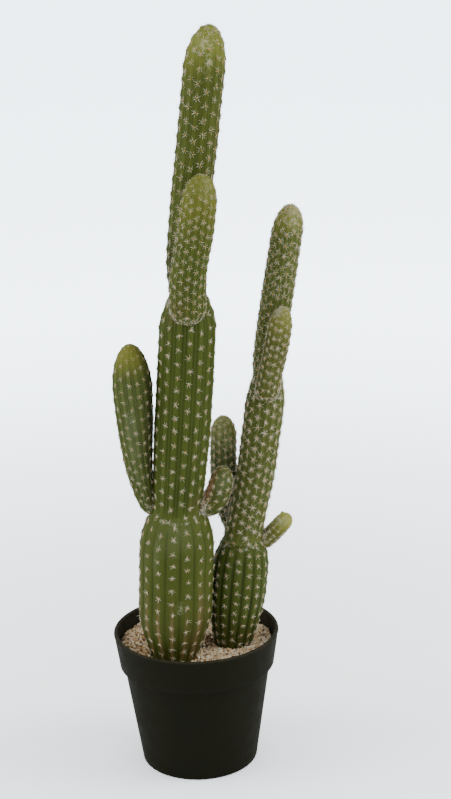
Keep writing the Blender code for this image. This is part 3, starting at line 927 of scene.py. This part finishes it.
# Patches of fine pale hair: run along the stem, turn, half length, half width in degrees, hairs
HAIR = {
    "left_front_arm": ((0.147, 0.0, 0.004, 180.0, 24),),
    "right_top": ((0.169, -20.0, 0.003, 150.0, 8), (0.160, 30.0, 0.006, 20.0, 8)),
    "right_front_arm": ((0.0985, -50.0, 0.004, 60.0, 80),),
    "right_side_arm": ((0.041, -60.0, 0.004, 50.0, 60),),
    "left_side_arm": ((0.112, -14.0, 0.006, 34.0, 7),),
    "left_base": ((0.092, 6.0, 0.007, 4.0, 7), (0.178, 12.0, 0.006, 12.0, 8)),
}

NECK_RINGS = (("left_base", 1.0), ("left_middle", 1.0), ("right_base", 1.0), ("right_middle", 1.0))


def dress_plant(side, names):
    tufts = Tufts([], [], [], [], [])
    fringe = Tufts([], [], [], [], [])
    for name in names:
        skin = SKINS[name]
        spots = areoles_on(skin, dice)
        skin_mesh(skin, spots, SKIN_FINISHES[skin.stem.finish])
        ripe = skin.ripeness(spots[:, 0])
        tufts.add(skin, spots[:, 0], spots[:, 1], 1.0, 0)
        short = skin.stem.tip_spines
        tufts.lengths[-1] = skin.stem.spine_length * (short + (1.0 - short) * ripe)
        if skin.stem.clear_of:
            seam = seam_roots(skin, dice)
            if len(seam):
                fringe.add(skin, seam[:, 0], seam[:, 1], skin.stem.spine_length * 1.15, 1)
        if skin.stem.top_radius > 0.0:
            count = int(math.tau * skin.stem.top_radius / skin.stem.neck_step)
            turns = np.arange(count) * 360.0 / count + dice.uniform(-8.0, 8.0, count)
            runs = skin.length - dice.uniform(0.0002, 0.0075, count)
            fringe.add(skin, runs, turns, skin.stem.spine_length * 0.9, 1)
    roots, normals, ups, lengths, _ = tufts.joined()
    points, faces = bristles(*stars(roots, normals, ups, lengths, dice))
    new_piece(side + "_spines", points, faces, SPINE)
    wool = WOOL_RADIUS * np.clip(lengths / 0.0048, 0.60, 1.0)
    points, faces = wool_cushions(roots, normals, ups, wool, dice)
    new_piece(side + "_wool", points, faces, WOOL)
    off = ups * dice.normal(0.0, 0.28, (len(roots), 1)) + np.cross(ups, normals) * dice.normal(0.0, 0.28, (len(roots), 1))
    seats = roots + (off + normals * 0.50) * wool[:, None]
    points, faces = wool_cushions(seats, normals, ups, wool * BUD_SHARE, dice, sides=6)
    new_piece(side + "_buds", points, faces, BUD)
    roots, normals, ups, lengths, _ = fringe.joined()
    points, faces = bristles(*stars(roots, normals, ups, lengths * dice.uniform(0.6, 1.35, len(roots)), dice, 4, 8))
    new_piece(side + "_fringe", points, faces, SPINE)
    hairs = []
    for name in names:
        skin = SKINS[name]
        for along, turn, long_, wide, count in HAIR.get(name, ()):
            runs, turns = hair_patch(skin, along, turn, long_, wide, count, dice)
            here, out = skin.point(runs, turns), skin.normal(runs, turns)
            flat = unit(np.cross(out, dice.normal(size=here.shape)))
            lift = dice.uniform(0.05, 0.6, (count, 1))
            ways = unit(flat + out * lift)
            curls = np.cross(out, flat) * dice.uniform(-0.4, 0.4, (count, 1)) - out * lift * 0.4
            hairs.append((here, ways, curls, dice.uniform(0.0014, 0.0036, count), dice.uniform(0.00018, 0.00030, count)))
    table = [np.concatenate(part) for part in zip(*hairs)]
    points, faces = bristles(*table)
    new_piece(side + "_hair", points, faces, SPINE_PALE)


def plain_finish(name, colour, roughness, bump=0.25, depth=0.0003, fine=0.0004, vary=0.18):
    """A plain colour that varies a little, with a fine grain."""
    finish = Finish(name, colour, roughness)
    finish.layer(tuple(min(1.0, c * (1.0 - vary)) for c in colour), finish.patches(0.004, 0.0, 1.0))
    return finish.finish(0.0012, fine, bump, depth)


SPINE = plain_finish("straw_spine", (0.84, 0.79, 0.66), 0.60)
SPINE_PALE = plain_finish("pale_hair", (0.74, 0.72, 0.62), 0.65)
WOOL = plain_finish("cream_wool", (0.76, 0.62, 0.43), 0.90)
BUD = plain_finish("amber_bud", (0.74, 0.38, 0.11), 0.85)

for side, names in PLANTS.items():
    dress_plant(side, names)


# ---- Pot

POT_HEIGHT = 0.1430
RIM_RADIUS = 0.0848
LIP_THICKNESS = 0.0044
LIP_HEIGHT = 0.0045
LIP_PROUD = 0.0006
BAND_FOOT_Z = 0.1075
BAND_FOOT_RADIUS = 0.0797
BAND_ROUNDING = 0.0022
BODY_TOP_Z = 0.1035
BODY_TOP_RADIUS = 0.0750
BASE_RADIUS = 0.0598
BASE_ROUNDING = 0.0022
WALL = 0.0026
FLOOR = 0.0030
TURN_STEPS = 240
INNER_WALL = (
    (0.0, BASE_RADIUS - WALL), (BODY_TOP_Z, BODY_TOP_RADIUS - WALL),
    (BAND_FOOT_Z, BAND_FOOT_RADIUS - WALL), (POT_HEIGHT, RIM_RADIUS - LIP_THICKNESS),
)


def inner_radius(height):
    return np.interp(height, [z for z, _ in INNER_WALL], [r for _, r in INNER_WALL])


def arc(centre_radius, centre_height, size, start, end, steps):
    """Profile points on an arc, its angles in degrees from the outward direction."""
    angles = np.radians(np.linspace(start, end, steps + 1))
    return [(centre_radius + size * math.cos(a), centre_height + size * math.sin(a)) for a in angles]


def spaced(profile, step):
    """The profile with extra points, so that no stretch is longer than step."""
    points = [profile[0]]
    for (r0, z0), (r1, z1) in zip(profile, profile[1:]):
        parts = max(1, int(math.hypot(r1 - r0, z1 - z0) / step))
        points += [(r0 + (r1 - r0) * i / parts, z0 + (z1 - z0) * i / parts) for i in range(1, parts + 1)]
    return points


def turned(profile, steps):
    """Points and faces of a solid turned about Z. The profile starts and ends on the axis."""
    middle = np.array(profile[1:-1])
    angles = np.arange(steps) * math.tau / steps
    rings = np.stack([
        middle[:, :1] * np.cos(angles), middle[:, :1] * np.sin(angles),
        np.repeat(middle[:, 1:], steps, axis=1),
    ], axis=-1)
    index = np.arange(len(middle) * steps).reshape(len(middle), steps)
    after = np.roll(index, -1, axis=1)
    faces = np.stack([index[:-1], index[1:], after[1:], after[:-1]], axis=-1).reshape(-1, 4).tolist()
    first, last = index.size, index.size + 1
    faces += [(first, int(a), int(b)) for a, b in zip(index[0], after[0])]
    faces += [(last, int(b), int(a)) for a, b in zip(index[-1], after[-1])]
    ends = [(0.0, 0.0, profile[0][1]), (0.0, 0.0, profile[-1][1])]
    return np.vstack([rings.reshape(-1, 3), ends]), faces


def make_pot():
    lip = LIP_THICKNESS / 2
    profile = [(0.0, FLOOR), (float(inner_radius(FLOOR)), FLOOR)]
    profile += [(radius, height) for height, radius in INNER_WALL[1:3]]
    profile += arc(RIM_RADIUS - lip, POT_HEIGHT - lip, lip, 180.0, -30.0, 14)
    profile += [(RIM_RADIUS - LIP_PROUD, POT_HEIGHT - LIP_HEIGHT)]
    profile += arc(BAND_FOOT_RADIUS - BAND_ROUNDING, BAND_FOOT_Z, BAND_ROUNDING, 0.0, -60.0, 6)
    profile += [(BODY_TOP_RADIUS, BODY_TOP_Z)]
    profile += arc(BASE_RADIUS - BASE_ROUNDING, BASE_ROUNDING, BASE_ROUNDING, 0.0, -90.0, 6)
    profile += [(0.0, 0.0)]
    points, faces = turned(spaced(profile, 0.0045), TURN_STEPS)
    pot = new_piece("pot_shell", points, faces, pot_finish(), replaces=("pot",))
    pot.data.set_sharp_from_angle(angle=math.radians(50.0))
    reach = np.hypot(points[:, 0], points[:, 1])
    within = reach < inner_radius(points[:, 2]) + 0.0006
    # The inner wall is painted a lighter grey-green: painted light on the inside of the pot.
    paint(pot, "inside", np.where(within & (points[:, 2] > FLOOR / 2), 1.0, 0.0))
    # The lip band carries a lighter brown: a painted highlight along the rim.
    paint(pot, "lip", smooth_step(POT_HEIGHT - 0.0024, POT_HEIGHT - 0.0004, points[:, 2]))


def pot_finish():
    plastic = Finish("charcoal_plastic", (0.0090, 0.0104, 0.0046), 0.62, 0.06)
    plastic.layer((0.0110, 0.0112, 0.0048), plastic.patches(0.030, 0.0, 0.8))
    plastic.layer((0.0150, 0.0140, 0.0095), plastic.patches(0.0030, 0.0, 0.25))
    # Lighter grey-green on the inner wall: painted light on the inside of the pot.
    plastic.layer((0.0230, 0.0235, 0.0150), plastic.times(plastic.painted("inside"), plastic.patches(0.010, 0.4, 1.0)))
    # Lighter brown on the lip: a painted highlight along the rim.
    plastic.layer((0.0310, 0.0265, 0.0165), plastic.times(plastic.painted("lip"), plastic.patches(0.006, 0.3, 1.0)))
    plastic.dust((0.120, 0.100, 0.062), 0.06)
    return plastic.finish(0.0011, 0.0004, 0.20, 0.0002, plastic.patches(0.012, 0.50, 0.66))


make_pot()


# ---- Gravel

GRAVEL_TOP_Z = 0.1275
GAP = 0.0003
BED_RINGS = 60
BED_STEPS = 200
GRAIN_SPACING = 0.0020

# Heaps and hollows in the gravel: x, y, reach, height
HEAPS = (
    (-0.055, 0.012, 0.016, 0.0060), (-0.066, -0.004, 0.014, 0.0030),
    (0.062, 0.020, 0.010, 0.0030), (0.006, -0.006, 0.010, -0.0030), (0.030, -0.050, 0.03, 0.001),
)


def bed_height(x, y):
    """Height of the gravel's surface, a little below its grains."""
    height = np.full(np.shape(x), GRAVEL_TOP_Z - 0.0012)
    for cx, cy, reach, rise in HEAPS:
        height = height + rise * np.exp(-(((x - cx) ** 2 + (y - cy) ** 2) / reach**2))
    place = np.stack([x, y, np.zeros(np.shape(x))], axis=-1)
    return height + 0.0009 * ripple(place, 0.020, 91)


def make_bed():
    """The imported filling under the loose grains, down to the pot's floor."""
    outer = float(inner_radius(GRAVEL_TOP_Z)) - GAP
    radii = np.linspace(outer, 0.0, BED_RINGS + 1)[:-1]
    kinks = [(float(inner_radius(z)) - GAP, z) for z in (FLOOR + GAP, BODY_TOP_Z, BAND_FOOT_Z)]
    angles = np.arange(BED_STEPS) * math.tau / BED_STEPS
    rings = [np.stack([r * np.cos(angles), r * np.sin(angles), np.full(BED_STEPS, z)], axis=-1) for r, z in kinks]
    for r in radii:
        x, y = r * np.cos(angles), r * np.sin(angles)
        rings.append(np.stack([x, y, bed_height(x, y)], axis=-1))
    rings = np.array(rings)
    index = np.arange(len(rings) * BED_STEPS).reshape(len(rings), BED_STEPS)
    after = np.roll(index, -1, axis=1)
    faces = np.stack([index[:-1], after[:-1], after[1:], index[1:]], axis=-1).reshape(-1, 4).tolist()
    bottom, top = index.size, index.size + 1
    faces += [(bottom, int(b), int(a)) for a, b in zip(index[0], after[0])]
    faces += [(top, int(a), int(b)) for a, b in zip(index[-1], after[-1])]
    centre = float(bed_height(np.zeros(1), np.zeros(1))[0])
    points = np.vstack([rings.reshape(-1, 3), [(0.0, 0.0, FLOOR + GAP), (0.0, 0.0, centre)]])
    grit = Finish("packed_grit", (0.16, 0.105, 0.065), 0.92)
    grit.layer((0.060, 0.036, 0.018), grit.patches(0.006, 0.0, 1.0))
    grit.layer((0.30, 0.23, 0.17), grit.patches(0.0016, 0.0, 0.5))
    material = grit.finish(0.0016, 0.0006, 0.9, 0.0012)
    new_piece("gravel_bed", points, faces, material, replaces=("gravel_layer", "cast_fill"))


GOLDEN = (1.0 + math.sqrt(5.0)) / 2.0
ICOSAHEDRON_POINTS = unit(np.array([
    (-1, GOLDEN, 0), (1, GOLDEN, 0), (-1, -GOLDEN, 0), (1, -GOLDEN, 0),
    (0, -1, GOLDEN), (0, 1, GOLDEN), (0, -1, -GOLDEN), (0, 1, -GOLDEN),
    (GOLDEN, 0, -1), (GOLDEN, 0, 1), (-GOLDEN, 0, -1), (-GOLDEN, 0, 1),
], dtype=float))
ICOSAHEDRON_FACES = np.array([
    (0, 11, 5), (0, 5, 1), (0, 1, 7), (0, 7, 10), (0, 10, 11), (1, 5, 9), (5, 11, 4), (11, 10, 2),
    (10, 7, 6), (7, 1, 8), (3, 9, 4), (3, 4, 2), (3, 2, 6), (3, 6, 8), (3, 8, 9), (4, 9, 5),
    (2, 4, 11), (6, 2, 10), (8, 6, 7), (9, 8, 1),
])


def grains(places, sizes, dice):
    """Rough pebbles of 20 faces, each squashed and turned its own way."""
    count = len(places)
    points = ICOSAHEDRON_POINTS[None] * dice.uniform(0.78, 1.22, (count, 12, 1))
    points = points * dice.uniform(0.65, 1.15, (count, 1, 3))
    frames = np.linalg.qr(dice.normal(size=(count, 3, 3)))[0]
    frames[:, :, 0] *= np.sign(np.linalg.det(frames))[:, None]
    points = np.einsum("nij,nkj->nki", frames, points) * sizes[:, None, None] + places[:, None]
    faces = ICOSAHEDRON_FACES[None] + 12 * np.arange(count)[:, None, None]
    return points.reshape(-1, 3), faces.reshape(-1, 3)


# Grain colours, and their shares at the right, at the left, and in the painted shadow by the feet, where darker grains
# stand in for shade
GRAIN_TONES = {
    "white": ((0.97, 0.88, 0.70), 0.38, 0.20, 0.00),
    "cream": ((0.80, 0.62, 0.38), 0.35, 0.36, 0.08),
    "pink": ((0.57, 0.38, 0.23), 0.16, 0.20, 0.12),
    "brown": ((0.21, 0.125, 0.055), 0.08, 0.12, 0.32),
    "dark": ((0.085, 0.055, 0.030), 0.01, 0.02, 0.44),
    "amber": ((0.52, 0.26, 0.050), 0.02, 0.10, 0.04),
}
# Painted shadow in the gravel, darker grains where shade falls by the feet: x, y, reach
GRAVEL_SHADOWS = ((0.008, -0.008, 0.009), (-0.056, 0.008, 0.005), (-0.046, -0.030, 0.004), (0.010, 0.006, 0.012))


def clear_of_stems(places, room):
    """Which places are outside both barrels by at least room."""
    clear = np.full(len(places), True)
    for name in ("left_base", "right_base"):
        skin = SKINS[name]
        along = (places[:, 2] - FILL_TOP_Z) / (skin.line[-1, 2] - FILL_TOP_Z) * skin.length
        gap = np.linalg.norm(places[:, :2] - skin.centre(along)[:, :2], axis=1) - skin.radius(along)
        clear &= gap > room
    return clear


def make_gravel(dice):
    outer = float(inner_radius(GRAVEL_TOP_Z)) - 0.0014
    places, sizes = [], []
    for spacing, size, lift, share in ((GRAIN_SPACING, 0.00125, 0.0006, 1.0), (0.0034, 0.00115, 0.0021, 0.55),
                                       (0.0026, 0.00070, 0.0014, 0.6)):
        rows = int(2 * outer / (spacing * 0.866))
        for row in range(rows):
            y = -outer + row * spacing * 0.866
            x = np.arange(-outer + (row % 2) * spacing / 2, outer, spacing)
            spot = np.stack([x, np.full(x.shape, y)], axis=-1)
            spot += dice.uniform(-0.35, 0.35, spot.shape) * spacing
            spot = spot[dice.random(len(spot)) < share]
            places.append(np.column_stack([spot, bed_height(spot[:, 0], spot[:, 1]) + lift
                                           + dice.uniform(-0.0004, 0.0004, len(spot))]))
            sizes.append(size * dice.uniform(0.75, 1.30, len(spot)))
    places, sizes = np.vstack(places), np.concatenate(sizes)
    kept = (np.hypot(places[:, 0], places[:, 1]) < outer) & clear_of_stems(places, 0.0002)
    places, sizes = places[kept], sizes[kept]
    leftness = smooth_step(0.015, -0.045, places[:, 0] + 0.010 * ripple(places, 0.015, 77))
    right = np.array([tone[1] for tone in GRAIN_TONES.values()])
    left = np.array([tone[2] for tone in GRAIN_TONES.values()])
    shadow_shares = np.array([tone[3] for tone in GRAIN_TONES.values()])
    # Grains near the shadow spots take the darker shares: painted shadow.
    shadowed = np.zeros(len(places))
    for x, y, reach in GRAVEL_SHADOWS:
        shadowed = np.maximum(shadowed, np.exp(-((places[:, 0] - x) ** 2 + (places[:, 1] - y) ** 2) / reach**2))
    shares = right[None] + (left - right)[None] * leftness[:, None]
    shares = np.cumsum(shares + (shadow_shares[None] - shares) * shadowed[:, None], axis=1)
    choice = (dice.random(len(places))[:, None] > shares).sum(axis=1).clip(0, len(GRAIN_TONES) - 1)
    for number, (label, (colour, *_)) in enumerate(GRAIN_TONES.items()):
        chosen = choice == number
        points, faces = grains(places[chosen], sizes[chosen], dice)
        new_piece(
            "gravel_" + label, points, faces,
            plain_finish(label + "_grain", colour, 0.80, bump=0.4), smooth=False,
        )


make_bed()
make_gravel(dice)


# ---- Floor, light and camera

FLOOR_SIZE = 60.0
# Paper colours seen directly: near the pot a painted shadow, far off painted light.
FLOOR_NEAR_SHADOW = (2.0, 2.1, 2.18)
FLOOR_FAR_LIT = (4.8, 5.4, 6.0)
CAMERA_DISTANCE = 1.600
CAMERA_HEIGHT = 0.861
CAMERA_YAW = math.radians(1.32)
CAMERA_PITCH = math.radians(16.52)
CAMERA_ROLL = math.radians(-1.62)
IMAGE_HEIGHT = 799
FOCAL_PIXELS = 1687.0
SENSOR = 36.0


def floor_finish():
    """Pale paper. Seen directly it is shown brighter, and brightest far off, as in the photograph."""
    paper = Finish("pale_floor", (0.80, 0.81, 0.82), 0.75)
    place = add_node(paper.tree, "ShaderNodeTexCoord")
    reach = add_node(paper.tree, "ShaderNodeVectorMath", operation="LENGTH")
    paper.link(place.outputs["Object"], reach.inputs[0])
    # The paper seen directly grows brighter away from the pot: a painted shadow round the pot, and painted light far
    # off.
    far = add_node(paper.tree, "ShaderNodeMapRange", From_Min=0.10, From_Max=2.4, interpolation_type="SMOOTHERSTEP")
    paper.link(reach.outputs["Value"], far.inputs["Value"])
    shown = add_node(paper.tree, "ShaderNodeMix", data_type="RGBA")
    shown.inputs[6].default_value = (*FLOOR_NEAR_SHADOW, 1.0)
    shown.inputs[7].default_value = (*FLOOR_FAR_LIT, 1.0)
    paper.link(far.outputs[0], shown.inputs[0])
    seen = add_node(paper.tree, "ShaderNodeLightPath")
    pale = add_node(paper.tree, "ShaderNodeMix", data_type="RGBA")
    pale.inputs[6].default_value = paper.start
    paper.link(shown.outputs[2], pale.inputs[7])
    paper.link(seen.outputs["Is Camera Ray"], pale.inputs[0])
    paper.link(pale.outputs[2], paper.shader.inputs["Base Color"])
    return paper.material


def make_floor():
    mesh = bpy.data.meshes.new("floor")
    half = FLOOR_SIZE / 2
    mesh.from_pydata([(-half, -half, 0), (half, -half, 0), (half, half, 0), (-half, half, 0)], [], [(0, 1, 2, 3)])
    floor = bpy.data.objects.new("floor", mesh)
    bpy.context.scene.collection.objects.link(floor)
    mesh.materials.append(floor_finish())


def aim(thing, place, target):
    thing.location = place
    way = Vector(target) - Vector(place)
    thing.rotation_euler = way.to_track_quat("-Z", "Y").to_euler()


def make_light(name, place, target, power, size, colour=(1.0, 1.0, 1.0)):
    lamp = bpy.data.lights.new(name, "AREA")
    lamp.shape = "DISK"
    lamp.size = size
    lamp.energy = power
    lamp.color = colour
    thing = bpy.data.objects.new(name, lamp)
    bpy.context.scene.collection.objects.link(thing)
    aim(thing, place, target)


ROOM_LIGHT = 1.0
ROOM_SEEN = 4.4


def make_world():
    world = bpy.data.worlds.new("pale_room")
    world.use_nodes = True
    sky = world.node_tree.nodes["Background"]
    sky.inputs["Color"].default_value = (0.90, 0.92, 0.92, 1.0)
    seen = add_node(world.node_tree, "ShaderNodeLightPath")
    strength = add_node(world.node_tree, "ShaderNodeMapRange", To_Min=ROOM_LIGHT, To_Max=ROOM_SEEN)
    world.node_tree.links.new(seen.outputs["Is Camera Ray"], strength.inputs["Value"])
    world.node_tree.links.new(strength.outputs[0], sky.inputs["Strength"])
    bpy.context.scene.world = world


def make_camera():
    forward = Vector((
        math.sin(CAMERA_YAW) * math.cos(CAMERA_PITCH),
        math.cos(CAMERA_YAW) * math.cos(CAMERA_PITCH),
        -math.sin(CAMERA_PITCH),
    ))
    level = Vector((math.cos(CAMERA_YAW), -math.sin(CAMERA_YAW), 0.0))
    above = level.cross(forward)
    right = level * math.cos(CAMERA_ROLL) + above * math.sin(CAMERA_ROLL)
    up = above * math.cos(CAMERA_ROLL) - level * math.sin(CAMERA_ROLL)
    lens = bpy.data.cameras.new("camera")
    lens.sensor_width = SENSOR
    lens.lens = FOCAL_PIXELS * SENSOR / IMAGE_HEIGHT
    lens.clip_end = 200.0
    camera = bpy.data.objects.new("camera", lens)
    bpy.context.scene.collection.objects.link(camera)
    turn = Matrix((right, up, -forward)).transposed().to_4x4()
    camera.matrix_world = Matrix.Translation((0.0, -CAMERA_DISTANCE, CAMERA_HEIGHT)) @ turn
    bpy.context.scene.camera = camera


make_floor()
make_world()
make_light("left_softbox", (-2.2, -0.3, 1.6), (0.0, 0.0, 0.35), 26.0, 1.8, (1.0, 0.99, 0.97))
make_light("right_softbox", (2.2, -0.3, 1.6), (0.0, 0.0, 0.35), 34.0, 1.8, (1.0, 0.98, 0.96))
make_camera()
